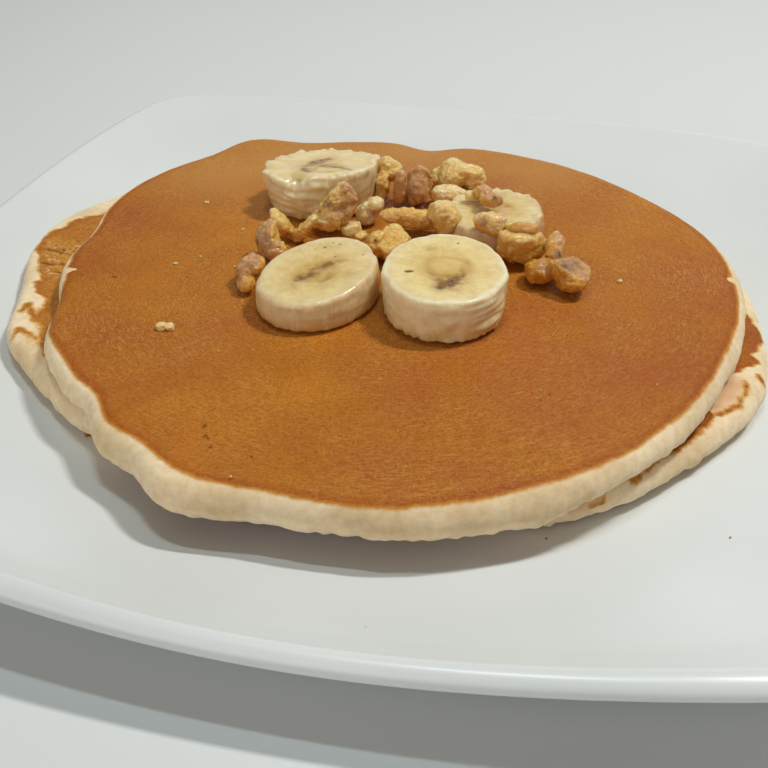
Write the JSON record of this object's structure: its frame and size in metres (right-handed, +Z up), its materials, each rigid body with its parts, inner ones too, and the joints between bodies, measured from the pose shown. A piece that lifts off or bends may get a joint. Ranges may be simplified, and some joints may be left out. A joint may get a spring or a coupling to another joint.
{
  "type": "pancake stack",
  "caption": "Stack of thick pancakes topped with banana slices and walnut pieces, served on a square white coupe plate.",
  "frame": {"origin": "on the table, under the middle of the plate", "axes": "+Z up out of the plate; +X and +Y along the plate's sides, with the two front banana slices towards -Y"},
  "size_m": [0.255, 0.255, 0.0381],
  "materials": {
    "plate_glaze": "gloss",
    "pancake_top": "satin",
    "pancake_lower": "matte",
    "banana": "satin",
    "walnut": "satin"
  },
  "bodies": {
    "root": {"plate": "plate_glaze", "pancake_lower": "pancake_lower", "pancake_top": "pancake_top", "banana_front_right": "banana", "banana_front_left": "banana", "banana_back_left": "banana", "banana_back_right": "banana", "walnut_01": "walnut", "walnut_02": "walnut", "walnut_03": "walnut", "walnut_04": "walnut", "walnut_05": "walnut", "walnut_06": "walnut", "walnut_07": "walnut", "walnut_08": "walnut", "walnut_09": "walnut", "walnut_10": "walnut", "walnut_11": "walnut", "walnut_12": "walnut", "walnut_13": "walnut", "walnut_14": "walnut", "walnut_15": "walnut"}
  },
  "joints": []
}
